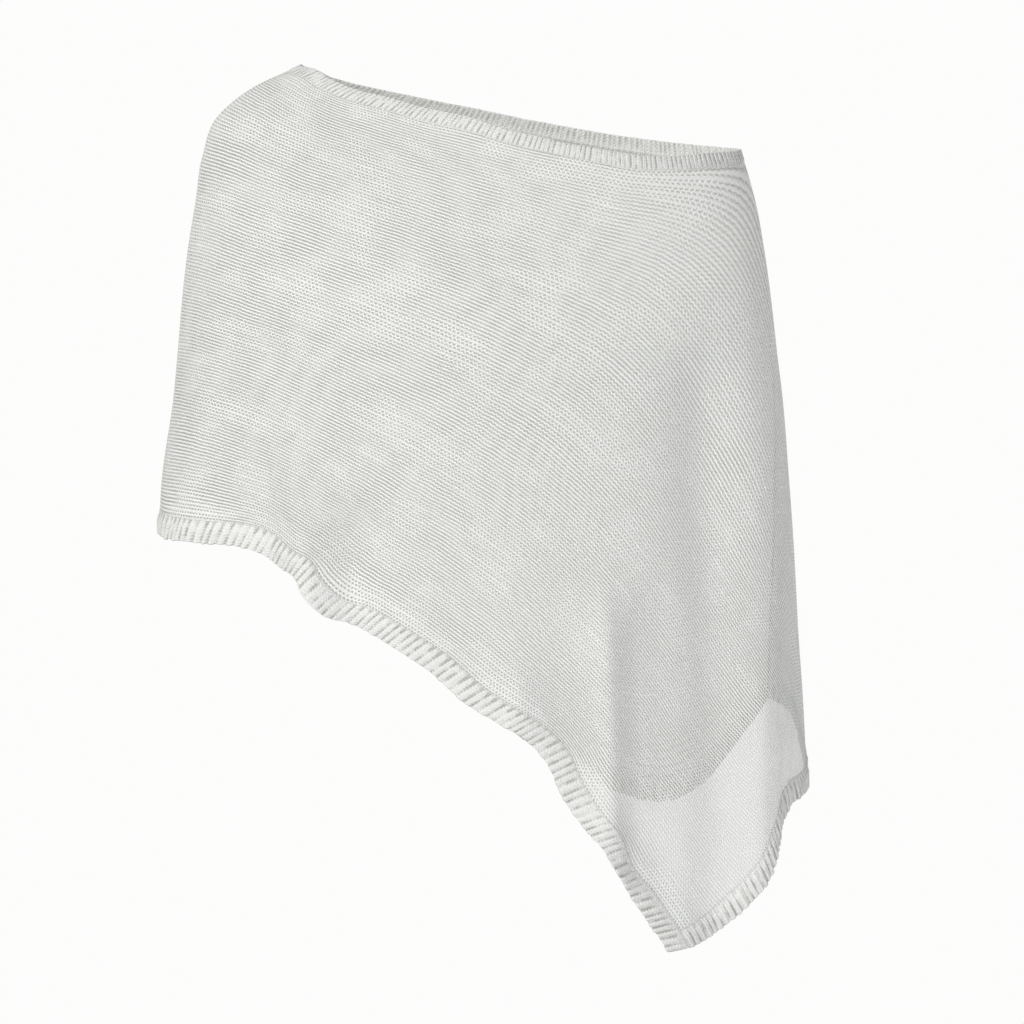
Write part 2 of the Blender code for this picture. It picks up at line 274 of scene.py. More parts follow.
# How strong the hem's ribs are, by shares of its length from the back of the far arm round to
# the front corner.
HEM_RELIEF = (
    (0.0, 0.8),
    (0.45, 0.85),
    (0.52, 1.0),
    (0.58, 1.0),
    (0.62, 0.6),
    (0.66, 0.35),
    (0.72, 0.5),
    (0.85, 0.6),
    (0.94, 0.85),
    (1.0, 0.9),
)
LAMPS = (
    Lamp("key", (-1.65, -2.25, 1.25), 1.5, 82.0, (1.0, 1.0, 0.99)),
    Lamp("low", (1.4, -2.2, -1.0), 1.2, 23.0, (0.95, 0.98, 1.0)),
    Lamp("back", (1.0, 2.0, -0.5), 1.4, 16.0, (0.93, 0.97, 1.0)),
)


def smooth_curve(places: Sequence[float], values: Sequence[float], where: Array) -> Array:
    """Read a smooth curve that passes through given values at given places.

    Args:
        places: Rising places along the curve.
        values: The value at each place.
        where: Where to read the curve.

    Returns:
        The values read.
    """
    places = np.asarray(places, float)
    values = np.asarray(values, float)
    slopes = np.gradient(values, places)
    where = np.clip(where, places[0], places[-1])
    at = np.clip(np.searchsorted(places, where, side="right") - 1, 0, len(places) - 2)
    span = places[at + 1] - places[at]
    part = (where - places[at]) / span
    rise = values[at + 1] - values[at]
    curve = part * part * (3 - 2 * part) * rise
    lead = part * (1 - part) ** 2 * slopes[at] * span
    trail = part * part * (1 - part) * slopes[at + 1] * span
    return values[at] + curve + lead - trail


def soft_step(low: float, high: float, value: Array) -> Array:
    """A smooth step from 0 at low to 1 at high."""
    part = np.clip((np.asarray(value, float) - low) / (high - low), 0.0, 1.0)
    return part * part * (3 - 2 * part)


def walk(line: Array) -> Array:
    """How far along a line of points each one lies."""
    return np.concatenate([[0.0], np.cumsum(np.linalg.norm(np.diff(line, axis=0), axis=1))])


def read_line(where: Array, marks: Array, values: Array) -> Array:
    """Read each column of some values, given at rising marks, at other places."""
    return np.stack([np.interp(where, marks, column) for column in values.T], axis=-1)


def unit(vectors: Array) -> Array:
    """The direction of each vector."""
    return vectors / np.linalg.norm(vectors, axis=-1, keepdims=True)


@dataclass
class HangingForm:
    """The form that the worn cloth hangs in.

    Each level section is a round loop through its left, right, front and back, and long folds
    stand out of it or sink into it.
    """

    sections: Sequence[Section] = SECTIONS
    folds: Sequence[Fold] = FOLDS + CREASES
    fold_fade: float = 0.28
    fold_end: float = 1.6
    fold_line: tuple[float, float] = (-1.0, 2.0)
    normal_turn: float = 0.5
    normal_drop: float = 1.0 * MM
    place_rounds: int = 25
    drop_reach: float = 1.5
    drop_steps: int = 60

    def sizes(self, height: Array) -> list[Array]:
        """Read the form's level section.

        Args:
            height: The heights.

        Returns:
            The left, right, front and back of the form at each.
        """
        rows = sorted(self.sections, key=lambda row: row.height)
        levels = [row.height * MM for row in rows]
        columns = ("left", "right", "front", "back")
        return [smooth_curve(levels, [getattr(row, name) * MM for row in rows], height) for name in columns]

    def fold_rise(self, turn: Array, height: Array, width: Array, depth: Array) -> Array:
        """How far the folds stand out of the form.

        Args:
            turn: Turns of the places, in degrees.
            height: Their heights.
            width: Half the form's width there.
            depth: Half the form's depth there.

        Returns:
            The rise of each place along the form's outward direction.
        """
        rise = np.zeros(np.shape(turn))
        for fold in self.folds:
            top, low = fold.top_height * MM, fold.low_height * MM
            down = np.clip((top - height) / (top - low), *self.fold_line)
            middle = np.radians(fold.top_turn + (fold.low_turn - fold.top_turn) * down)
            reach = np.radians(turn) - middle
            across = reach * np.hypot(width * np.sin(middle), depth * np.cos(middle))
            edges = np.minimum(down / self.fold_fade, (self.fold_end - down) / self.fold_fade)
            fade = soft_step(0.0, 1.0, edges)
            rise = rise + fold.rise * MM * fade * np.exp(-((across / (fold.half_width * MM)) ** 2))
        return rise

    def point(self, turn: Array, height: Array) -> Array:
        """Find points of the cloth's inner face.

        Args:
            turn: Their turns.
            height: Their heights.

        Returns:
            The points.
        """
        turn, height = np.broadcast_arrays(np.asarray(turn, float), np.asarray(height, float))
        left, right, front, back = self.sizes(height)
        angle = np.radians(turn)
        width = (right - left) / 2
        depth = np.where(np.sin(angle) >= 0, front, back)
        x = (left + right) / 2 - width * np.cos(angle)
        y = -depth * np.sin(angle)
        out_x, out_y = -np.cos(angle) * depth, -np.sin(angle) * width
        size = np.hypot(out_x, out_y)
        rise = self.fold_rise(turn, height, width, depth)
        return np.stack([x + rise * out_x / size, y + rise * out_y / size, height], axis=-1)

    def rows(self, places: Array) -> Array:
        """Find points of the form and the outward direction at each.

        Args:
            places: The turn and height of each point.

        Returns:
            Six numbers for each place.
        """
        turn, height = places[..., 0], places[..., 1]
        around = self.point(turn + self.normal_turn, height) - self.point(turn - self.normal_turn, height)
        down = self.point(turn, height - self.normal_drop) - self.point(turn, height + self.normal_drop)
        return np.concatenate([self.point(turn, height), unit(np.cross(down, around))], axis=-1)

    def place_of(self, seen: Seen) -> tuple[float, float]:
        """Find the point that is seen at a place.

        Args:
            seen: The place, as it looks from straight in front.

        Returns:
            The point's turn and height.
        """
        distance = 0.0
        turn, height = 180.0, seen.z * MM
        for _ in range(self.place_rounds):
            nearness = 1 + distance / VIEW_DISTANCE
            x = EYE_X + (seen.x * MM - EYE_X) * nearness
            height = EYE_Z + (seen.z * MM - EYE_Z) * nearness
            left, right = self.sizes(height)[:2]
            across = np.clip(((left + right) / 2 - x) / ((right - left) / 2), -1.0, 1.0)
            turn = float(np.degrees(np.arccos(across)))
            turn = turn if seen.side is Side.FRONT else 360 - turn
            distance = float(self.point(turn, height)[1])
        return turn, float(height)

    def below(self, place: Array, distance: float) -> tuple[float, float]:
        """Find the place straight down the cloth from another.

        Args:
            place: The turn and height of the first place.
            distance: How far down it is, along the cloth.

        Returns:
            Its turn and height.
        """
        turn, height = place
        drops = np.linspace(0, self.drop_reach * distance, self.drop_steps)
        walked = walk(self.point(turn, height - drops))
        return turn, height - float(np.interp(distance, walked, drops))


class Edge:
    """A smooth line on the form through some places, read by the share of its length."""

    def __init__(self, form: HangingForm, places: Sequence[tuple[float, float]], steps: int = 600) -> None:
        """Lay the line.

        Args:
            form: The form that it lies on.
            places: The turn and height of each place that it passes.
            steps: How finely it is measured.
        """
        given = np.asarray(places, float)
        marks = walk(form.point(given[:, 0], given[:, 1]))
        fine = np.linspace(0, marks[-1], steps)
        self.places = np.stack([smooth_curve(marks, column, fine) for column in given.T], axis=-1)
        walked = walk(form.point(self.places[:, 0], self.places[:, 1]))
        self.length = float(walked[-1])
        self.shares = walked / self.length

    def at(self, share: Array) -> Array:
        """The turn and height at a share of the length."""
        return read_line(share, self.shares, self.places)


@dataclass
class Strip:
    """Cloth between an upper edge and a hem, laid out in wales, the lines that join the two.

    upper and hem read a place by the share of the strip's columns. The last wale follows its own
    edge, and those before it bend less and less.
    """

    form: HangingForm
    upper: Callable[[float], Array]
    hem: Callable[[float], Array]
    last_edge: Edge
    bend_start: float = 0.3
    wale_steps: int = 240

    def wale(self, column: float) -> tuple[Array, Array]:
        """Lay one wale.

        Args:
            column: The share of the strip's columns that it has.

        Returns:
            The places down it, and how far along the cloth each one lies.
        """
        part = np.linspace(0, 1, self.wale_steps)[:, None]
        straight = (1 - part) * self.upper(column) + part * self.hem(column)
        last = (1 - part) * self.upper(1.0) + part * self.hem(1.0)
        bend = self.last_edge.at(part[:, 0]) - last
        share = np.clip((column - self.bend_start) / (1 - self.bend_start), 0.0, 1.0)
        places = straight + share**2 * bend
        return places, walk(self.form.point(places[:, 0], places[:, 1]))

    def grid(self, columns: Array, rows: int, band: float) -> Array:
        """Places in rows from the upper edge to the band along the hem, and then the hem itself.

        Args:
            columns: The columns' shares.
            rows: How many rows lie above the band.
            band: The band's depth.

        Returns:
            The turn and height of each place, by row and column.
        """
        found = []
        for column in columns:
            places, walked = self.wale(float(column))
            marks = np.append(np.linspace(0, walked[-1] - band, rows), walked[-1])
            found.append(read_line(marks, walked, places))
        return np.stack(found, axis=1)


@dataclass
class Pattern:
    """The garment's edges and strips, laid on the form as the knitted strip hangs."""

    form: HangingForm = field(default_factory=HangingForm)
    neck_band: float = 12.0 * MM
    hem_band: float = 18.0 * MM
    end_band: float = 16.0 * MM
    band_steps: int = 60
    neck_columns: int = 116
    seam_columns: int = 112
    back_columns: int = 130
    rows: int = 112

    def __post_init__(self) -> None:
        """Lay the edges and read the two strips."""
        form = self.form
        self.neck_front = Edge(form, [(0.0, 0.0), *map(form.place_of, NECK_FRONT), (180.0, FAR_POINT)])
        self.neck_back = Edge(form, [(360.0, 0.0), *map(form.place_of, NECK_BACK), (180.0, FAR_POINT)])
        self.under_neck_front = self.line_below(self.neck_front)
        self.under_neck_back = self.line_below(self.neck_back)
        seam_top = form.below((180.0, FAR_POINT), self.neck_band)
        self.seam = Edge(form, [seam_top, *((turn, height * MM) for turn, height in SIDE_SEAM)])
        seam_foot = tuple(self.seam.at(1.0))
        self.hem_front = Edge(form, [(0.0, HELD_SIDE_HEM), *map(form.place_of, HEM_FRONT)])
        self.hem_back = Edge(form, [(360.0, HELD_SIDE_HEM), *map(form.place_of, HEM_BACK), seam_foot])
        corner = tuple(self.hem_front.at(1.0))
        self.free_end = Edge(form, [seam_foot, *map(form.place_of, FREE_END), corner])
        self.front = Strip(form, self.front_upper, self.front_hem, self.free_end)
        self.back = Strip(form, self.under_neck_back.at, self.hem_back.at, self.seam)
        neck = np.linspace(0, 0.5, self.neck_columns + 1)
        seam = np.linspace(0.5, 1, self.seam_columns + 1)[1:]
        self.front_shares = np.concatenate([neck, seam])
        self.back_shares = np.linspace(0, 1, self.back_columns + 1)
        self.front_places = self.front.grid(self.front_shares, self.rows, self.hem_band)
        self.back_places = self.back.grid(self.back_shares, self.rows, self.hem_band)
        self.mark_end_band()

    def line_below(self, edge: Edge) -> Edge:
        """The lower edge of the neck band under a stretch of the neck edge."""
        shares = np.linspace(0, 1, self.band_steps + 1)
        return Edge(self.form, [self.form.below(edge.at(share), self.neck_band) for share in shares])

    def front_upper(self, column: float) -> Array:
        """Find where a front column starts, on the neck band and then on the side seam.

        Args:
            column: The column's share.

        Returns:
            The turn and height.
        """
        if column <= 0.5:
            return self.under_neck_front.at(2 * column)
        return self.seam.at(2 * column - 1)

    def front_hem(self, column: float) -> Array:
        """The place where a front column meets the hem."""
        uppers = [tie.upper / 2 for tie in FRONT_TIES]
        return self.hem_front.at(smooth_curve(uppers, [tie.hem for tie in FRONT_TIES], column))

    def mark_end_band(self) -> None:
        """Move the front's last but one column to the inner edge of the free end's band."""
        last = self.form.point(self.front_places[:, -1, 0], self.front_places[:, -1, 1])
        inner = self.form.point(self.front_places[:, -3, 0], self.front_places[:, -3, 1])
        share = self.end_band / np.linalg.norm(inner - last, axis=1)
        step = self.front_places[:, -3] - self.front_places[:, -1]
        self.front_places[:, -2] = self.front_places[:, -1] + share[:, None] * step
        keep = np.ones(self.front_places.shape[1], bool)
        behind = np.median(share)
        drop = int(math.floor(2 * behind)) if behind > 1 else 0
        if drop:
            keep[-2 - drop : -2] = False
        self.front_places = self.front_places[:, keep]
        self.front_shares = self.front_shares[keep]


@dataclass
class YarnNet:
    """A coarse net over a sheet of cloth, on which a value evens itself out between held edges."""

    points: Array
    row_step: int = 4
    column_step: int = 6
    slopes: Sequence[Slope] = SLOPES
    slope_reach: float = 42 * MM
    slope_pull: float = 3.5
    facing_low: float = 0.05
    facing_high: float = 0.3
    evenness: float = 4.0
    least_steepness: float = 0.02
    rounds: int = 10
    damping: float = 0.35

    def __post_init__(self) -> None:
        """Measure the net's cells."""
        rows, columns = self.points.shape[:2]
        self.row_at = np.unique(np.append(np.arange(0, rows, self.row_step), rows - 1))
        self.column_at = np.unique(np.append(np.arange(0, columns, self.column_step), columns - 1))
        net = self.points[np.ix_(self.row_at, self.column_at)]
        order = np.arange(net.shape[0] * net.shape[1]).reshape(net.shape[:2])
        cuts = (slice(None, -1), slice(1, None))
        self.corners = [order[row, column].ravel() for row in cuts for column in cuts]
        self.across = np.array([-1, 1, -1, 1]) / 2
        self.down = np.array([-1, -1, 1, 1]) / 2
        self.twist = np.array([1, -1, -1, 1]) / 2
        flat = net.reshape(-1, 3)
        side, drop = self.steps(flat)
        self.sides, self.drops, self.lean = (side**2).sum(1), (drop**2).sum(1), (side * drop).sum(1)
        self.area = np.sqrt(np.maximum(self.sides * self.drops - self.lean**2, TINY**2))
        self.guide(sum(flat[corner] for corner in self.corners) / 4, side, drop)

    def steps(self, values: Array) -> list[Array]:
        """How much the places' values change along each cell and down it."""
        parts = [values[corner] for corner in self.corners]
        return [sum(share * part for share, part in zip(way, parts)) for way in (self.across, self.down)]

    def guide(self, middle: Array, side: Array, drop: Array) -> None:
        """Work out which way the courses run through the cells of the front, and how surely.

        Args:
            middle: The middle of each cell.
            side: Its step along the strip.
            drop: Its step down the strip.
        """
        facing = np.cross(side, drop)
        facing = facing[:, 1] / np.linalg.norm(facing, axis=1)
        spots = np.array([(slope.x * MM, slope.z * MM, math.radians(slope.degrees)) for slope in self.slopes])
        away = ((middle[None, :, [0, 2]] - spots[:, None, :2]) ** 2).sum(-1)
        near = np.exp(-away / self.slope_reach**2 / 2)
        angle = spots[:, 2] @ near / (near.sum(0) + TINY)
        self.sure = near.max(0) * soft_step(self.facing_low, self.facing_high, facing)
        right, down = np.cos(angle), -np.sin(angle)
        turn = side[:, 0] * drop[:, 2] - side[:, 2] * drop[:, 0]
        turn = np.where(np.abs(turn) < TINY, TINY, turn)
        self.run_side = (right * drop[:, 2] - down * drop[:, 0]) / turn
        self.run_drop = (down * side[:, 0] - right * side[:, 2]) / turn
        size = np.linalg.norm(self.run_side[:, None] * side + self.run_drop[:, None] * drop, axis=1)
        self.run_side, self.run_drop = self.run_side / size, self.run_drop / size

    def pull(self, weight: Array, guided: bool) -> Array:
        """Work out how strongly the net's places pull on each other.

        Args:
            weight: A weight on each cell.
            guided: Whether the level lines follow the slopes.

        Returns:
            The pull of each place on each other place.
        """
        places = len(self.row_at) * len(self.column_at)
        found = np.zeros((places, places))
        run = [self.run_side * self.across[i] + self.run_drop * self.down[i] for i in range(4)]
        for i in range(4):
            for j in range(4):
                share = self.drops * self.across[i] * self.across[j]
                share = share + self.sides * self.down[i] * self.down[j]
                share = share - self.lean * (self.across[i] * self.down[j] + self.down[i] * self.across[j])
                share = share + (self.sides + self.drops) / 3 * self.twist[i] * self.twist[j]
                share = share / self.area
                if guided:
                    share = share + self.slope_pull * self.sure * self.area * run[i] * run[j]
                np.add.at(found, (self.corners[i], self.corners[j]), share * weight)
        return found

    def settle(self, held: Array, values: Array, guided: bool = False) -> Array:
        """Even a value out over the cloth.

        Args:
            held: Where the value is held, by row and column.
            values: The held values; the others aren't read.
            guided: Whether its level lines follow the slopes.

        Returns:
            The value at each point.
        """
        some = np.ix_(self.row_at, self.column_at)
        held, found = held[some].ravel(), values[some].ravel().copy()
        free, weight = ~held, np.ones(len(self.area))
        for _ in range(self.rounds):
            pull = self.pull(weight, guided)
            found[free] = np.linalg.solve(pull[np.ix_(free, free)], -pull[np.ix_(free, held)] @ found[held])
            side, drop = self.steps(found)
            steep = self.drops * side**2 - 2 * self.lean * side * drop + self.sides * drop**2
            steep = steep / self.area**2
            wanted = (steep / np.median(steep) + self.least_steepness) ** ((self.evenness - 2) / 2)
            weight = weight ** (1 - self.damping) * wanted**self.damping
        rows, columns = self.points.shape[:2]
        found = found.reshape(len(self.row_at), len(self.column_at))
        found = read_line(np.arange(rows), self.row_at, found)
        return read_line(np.arange(columns), self.column_at, found.T).T


def add_object(name: str, data: bpy.types.ID) -> bpy.types.Object:
    """Add an object to the scene.

    Args:
        name: Its name.
        data: Its mesh, light or camera.

    Returns:
        The object.
    """
    made = bpy.data.objects.new(name, data)
    bpy.context.scene.collection.objects.link(made)
    return made


def add_mesh(name: str, shape: bmesh.types.BMesh) -> bpy.types.Object:
    """Add a shape to the scene as a mesh object, and let go of the shape.

    Args:
        name: The object's name.
        shape: The shape.

    Returns:
        The object.
    """
    mesh = bpy.data.meshes.new(name)
    shape.to_mesh(mesh)
    shape.free()
    return add_object(name, mesh)


def grid_piece(name: str, points: Array, uvs: Array, outward: Array | None = None) -> bpy.types.Object:
    """Make a mesh object on a grid of points.

    Args:
        name: The object's name.
        points: Points by row and column.
        uvs: The knit coordinates of each, by row and column.
        outward: An outward direction for each. Without them the grid becomes a closed shell: what
            meets is joined and the ends are capped.

    Returns:
        The new object, at the origin.
    """
    rows, columns = points.shape[:2]
    sheet = bmesh.new()
    bmesh.ops.create_grid(sheet, x_segments=columns - 1, y_segments=rows - 1, size=1.0)
    knit = sheet.loops.layers.uv.new("knit")
    flat = sheet.loops.layers.uv.new("OFBake")
    inside = 1 - 2 * BAKE_MARGIN
    at = {}
    for vertex in sheet.verts:
        column = round((vertex.co.x + 1) / 2 * (columns - 1))
        row = round((1 - vertex.co.y) / 2 * (rows - 1))
        at[vertex.index] = (row, column)
    sheet.verts.index_update()
    for face in sheet.faces:
        for loop in face.loops:
            row, column = at[loop.vert.index]
            loop[knit].uv = uvs[row, column]
            right, down = column / (columns - 1), row / (rows - 1)
            loop[flat].uv = (BAKE_MARGIN + inside * right, 1 - BAKE_MARGIN - inside * down)
    for vertex in sheet.verts:
        vertex.co = points[at[vertex.index]]
    if outward is None:
        bmesh.ops.remove_doubles(sheet, verts=sheet.verts, dist=MEETING)
        rim = [edge for edge in sheet.edges if edge.is_boundary]
        if rim:
            bmesh.ops.holes_fill(sheet, edges=rim, sides=0)
        bmesh.ops.recalc_face_normals(sheet, faces=sheet.faces)
    else:
        sheet.normal_update()
        sheet.faces.ensure_lookup_table()
        middle = sheet.faces[len(sheet.faces) // 2]
        row, column = at[middle.verts[0].index]
        if middle.normal.dot(outward[row, column].tolist()) < 0:
            bmesh.ops.reverse_faces(sheet, faces=sheet.faces)
    piece = add_mesh(name, sheet)
    piece.data.shade_smooth()
    return piece


class Nodes:
    """A short hand for laying out a material's nodes."""

    def __init__(self, name: str) -> None:
        """Start an empty material.

        Args:
            name: The material's name.
        """
        self.material = bpy.data.materials.new(name)
        self.material.use_nodes = True
        self.tree = self.material.node_tree
        self.tree.nodes.clear()

    def feed(self, socket: Socket, value: object) -> None:
        """Link a socket to another, or set its value.

        Args:
            socket: The socket.
            value: The other socket, or the value.
        """
        if isinstance(value, bpy.types.NodeSocket):
            self.tree.links.new(value, socket)
        else:
            socket.default_value = value

    def node(self, kind: str, given: dict[str | int, object], **settings: object) -> bpy.types.Node:
        """Add a node.

        Args:
            kind: Its kind.
            given: What its sockets are fed, by their names or numbers.
            settings: Its own settings.

        Returns:
            The node.
        """
        made = self.tree.nodes.new(kind)
        for key, value in settings.items():
            setattr(made, key, value)
        for key, value in given.items():
            self.feed(made.inputs[key], value)
        return made

    def result(self, kind: str, *given: object, **settings: object) -> Socket:
        """The first result of a node whose first sockets are fed in order."""
        return self.node(kind, dict(enumerate(given)), **settings).outputs[0]

    def math(self, operation: str, *given: object) -> Socket:
        """The result of a Math node."""
        return self.result("ShaderNodeMath", *given, operation=operation)

    def wave(self, turns: object, low: float = 0.0, high: float = 1.0) -> Socket:
        """A wave that is high at whole turns and low halfway between."""
        wave = self.math("COSINE", self.times(turns, 2 * math.pi))
        return self.scaled(wave, (high - low) / 2, (high + low) / 2)

    def step(self, value: object, low: object, high: object, start: float = 0.0, end: float = 1.0) -> Socket:
        """A smooth step of a value from start to end."""
        given = (value, low, high, start, end)
        return self.result("ShaderNodeMapRange", *given, interpolation_type="SMOOTHSTEP", clamp=True)

    def times(self, first: object, second: object) -> Socket:
        """The product of two values."""
        return self.math("MULTIPLY", first, second)

    def plus(self, first: object, second: object) -> Socket:
        """The sum of two values."""
        return self.math("ADD", first, second)

    def minus(self, first: object, second: object) -> Socket:
        """The first value less the second."""
        return self.math("SUBTRACT", first, second)

    def scaled(self, value: object, factor: object, start: object) -> Socket:
        """A value times a factor, counted from a start."""
        return self.math("MULTIPLY_ADD", value, factor, start)

    def about_zero(self, noise: Socket, spread: float) -> Socket:
        """A noise about 0.5, made one about 0 with a spread."""
        return self.scaled(noise, spread, -0.5 * spread)

    def grain(self, x: object, y: object, scales: tuple[float, float], detail: float) -> Socket:
        """Spread a noise about 0.5 over two coordinates.

        Args:
            x: The first coordinate.
            y: The second coordinate.
            scales: The scale along each.
            detail: How many finer noises it has in it.

        Returns:
            The noise.
        """
        place = self.result("ShaderNodeCombineXYZ", self.times(x, scales[0]), self.times(y, scales[1]), 0.0)
        given = {"Vector": place, "Scale": 1.0, "Detail": detail, "Roughness": 0.5}
        return self.node("ShaderNodeTexNoise", given).outputs["Fac"]

    def blend(self, share: object, first: object, second: object) -> Socket:
        """A colour between two."""
        return self.node("ShaderNodeMix", {0: share, 6: first, 7: second}, data_type="RGBA").outputs[2]

    def knit_coordinates(self) -> tuple[Socket, Socket]:
        """The piece's own knit coordinates: along the courses and across them."""
        parts = self.node("ShaderNodeSeparateXYZ", {0: self.result("ShaderNodeUVMap", uv_map="knit")})
        return parts.outputs[0], parts.outputs[1]

    def bump(self, height: Socket, distance: float) -> Socket:
        """A normal from a height field, in metres."""
        given = {"Strength": 1.0, "Distance": distance, "Height": height}
        return self.node("ShaderNodeBump", given).outputs[0]

    def surface(self, shader: Socket) -> bpy.types.Material:
        """Finish the material with a surface shader."""
        self.node("ShaderNodeOutputMaterial", {"Surface": shader})
        return self.material


@dataclass(frozen=True)
class YarnFinish:
    """How the yarn of a piece takes light, and the painted shade that its colour runs to in recesses and
    grooves.
    """

    light: Colour = (0.93, 0.928, 0.905, 1.0)
    # The painted shade colour, which the yarn takes in its recesses and grooves.
    painted_shade: Colour = (0.42, 0.408, 0.375, 1.0)
    glow: Colour = (0.84, 0.86, 0.85, 1.0)
    roughness: float = 0.9
    gloss: float = 0.2
    sheen: float = 0.12
    sheen_roughness: float = 0.5
    glow_share: float = 0.25

    def shader(self, nodes: Nodes, colour: Socket, normal: Socket) -> Socket:
        """The matt yarn, which lets some light through.

        Args:
            nodes: The material's nodes.
            colour: The yarn's colour.
            normal: Its bumped normal.

        Returns:
            The mixed shader.
        """
        cloth = nodes.node(
            "ShaderNodeBsdfPrincipled",
            {
                "Base Color": colour,
                "Normal": normal,
                "Roughness": self.roughness,
                "Specular IOR Level": self.gloss,
                "Sheen Weight": self.sheen,
                "Sheen Roughness": self.sheen_roughness,
            },
        )
        through = nodes.node("ShaderNodeBsdfTranslucent", {"Color": self.glow, "Normal": normal})
        return nodes.result("ShaderNodeMixShader", self.glow_share, cloth.outputs[0], through.outputs[0])

    def open_shader(self, nodes: Nodes, cover: Socket, colour: Socket, normal: Socket) -> Socket:
        """The yarn where it covers, and nothing between."""
        clear = nodes.result("ShaderNodeBsdfTransparent")
        return nodes.result("ShaderNodeMixShader", cover, clear, self.shader(nodes, colour, normal))


@dataclass(frozen=True)
class SheerKnit:
    """The fine sheer knit, reverse side out: rows of small loops with openings between them, and painted
    shade darkening the yarn towards the openings.

    Noise scales are for each stitch or course, and heights are shares of a row's own height.
    """

    yarn: YarnFinish = field(default_factory=YarnFinish)
    courses: float = 142.0
    patch_scales: tuple[float, float] = (0.07, 0.07)
    drift_scales: tuple[float, float] = (0.03, 0.05)
    drift: float = 1.3
    fuzz_scales: tuple[float, float] = (0.8, 1.3)
    fuzz: float = 0.16
    row_scales: tuple[float, float] = (3.7, 0.06)
    row_unevenness: float = 0.36
    row_wave: float = 0.12
    row_sway: float = 0.4
    leg_height: float = 0.44
    leg_sharpness: float = 1.3
    leg_sway: float = 0.44
    firm_patches: tuple[float, float] = (0.36, 0.6)
    firmness: tuple[float, float] = (0.3, 1.1)
    dense_top: float = 16.0
    dense_hem: float = 12.0
    opening: float = 0.40
    patch_opening: float = 0.3
    dense_closing: float = 0.6
    edge: float = 0.15
    film: float = 0.40
    dense_film: float = 0.35
    # shade_below and light_above set where the colour runs from painted shade low in the openings to the
    # yarn's light colour on the rows.
    shade_below: float = 0.5
    light_above: float = 0.24
    bump_depth: float = 0.7 * MM

    def height(self, nodes: Nodes, stitch: Socket, course: Socket, patches: Socket, fuzz: Socket) -> Socket:
        """Raise the rows and the small legs between them.

        Args:
            nodes: The material's nodes.
            stitch: The place along the courses.
            course: The place across them.
            patches: A slow noise, high where the stitches stand firm.
            fuzz: A fine noise.

        Returns:
            The height of the yarn.
        """
        uneven = nodes.grain(nodes.math("ROUND", course), stitch, self.row_scales, 1.0)
        odd = nodes.times(nodes.math("MODULO", nodes.math("FLOOR", course), 2.0), 0.5)
        sway = nodes.about_zero(fuzz, self.leg_sway)
        firm = nodes.step(patches, *self.firm_patches, *self.firmness)
        loop = nodes.times(nodes.wave(stitch, -self.row_wave, self.row_wave), firm)
        row = nodes.wave(nodes.plus(nodes.plus(course, loop), nodes.times(sway, self.row_sway)))
        leg = nodes.math("POWER", nodes.wave(nodes.plus(nodes.plus(stitch, odd), sway)), self.leg_sharpness)
        height = nodes.math("MAXIMUM", row, nodes.times(nodes.times(leg, self.leg_height), firm))
        height = nodes.plus(height, nodes.about_zero(fuzz, self.fuzz))
        return nodes.plus(height, nodes.about_zero(uneven, self.row_unevenness))

    def dense(self, nodes: Nodes, course: Socket) -> Socket:
        """Mark where the knit is closer, next to the ribs.

        Args:
            nodes: The material's nodes.
            course: The place across the courses.

        Returns:
            How much closer it is, from 0 to 1.
        """
        top = nodes.step(course, 1.0, self.dense_top, 1.0, 0.0)
        low = nodes.step(course, self.courses - self.dense_hem, self.courses - 1.0)
        return nodes.math("MAXIMUM", top, low)

    def material(self) -> bpy.types.Material:
        """Build the material.

        Returns:
            The material.
        """
        nodes = Nodes("sheer_knit")
        stitch, course = nodes.knit_coordinates()
        patches = nodes.grain(stitch, course, self.patch_scales, 3.0)
        pulled = nodes.grain(stitch, course, self.drift_scales, 1.0)
        course = nodes.plus(course, nodes.about_zero(pulled, self.drift))
        fuzz = nodes.grain(stitch, course, self.fuzz_scales, 3.0)
        height = self.height(nodes, stitch, course, patches, fuzz)
        dense = self.dense(nodes, course)
        opening = nodes.scaled(patches, -self.patch_opening, self.opening + self.patch_opening / 2)
        opening = nodes.times(opening, nodes.scaled(dense, -self.dense_closing, 1.0))
        cover = nodes.step(height, nodes.minus(opening, self.edge), nodes.plus(opening, self.edge))
        # The film partly covers the openings, as fuzz would, and it takes the painted shade colour, so it
        # also darkens the openings as painted shade.
        film = nodes.scaled(dense, self.dense_film, self.film)
        cover = nodes.plus(nodes.times(cover, nodes.minus(1.0, film)), film)
        # Painted shade: by the yarn's height, the colour is darkest low in the openings and lightest on the
        # tops of the rows.
        shaded, lit = nodes.times(opening, self.shade_below), nodes.plus(opening, self.light_above)
        painted_shading = nodes.step(height, shaded, lit)
        colour = nodes.blend(painted_shading, self.yarn.painted_shade, self.yarn.light)
        normal = nodes.bump(height, self.bump_depth)
        return nodes.surface(self.yarn.open_shader(nodes, cover, colour, normal))


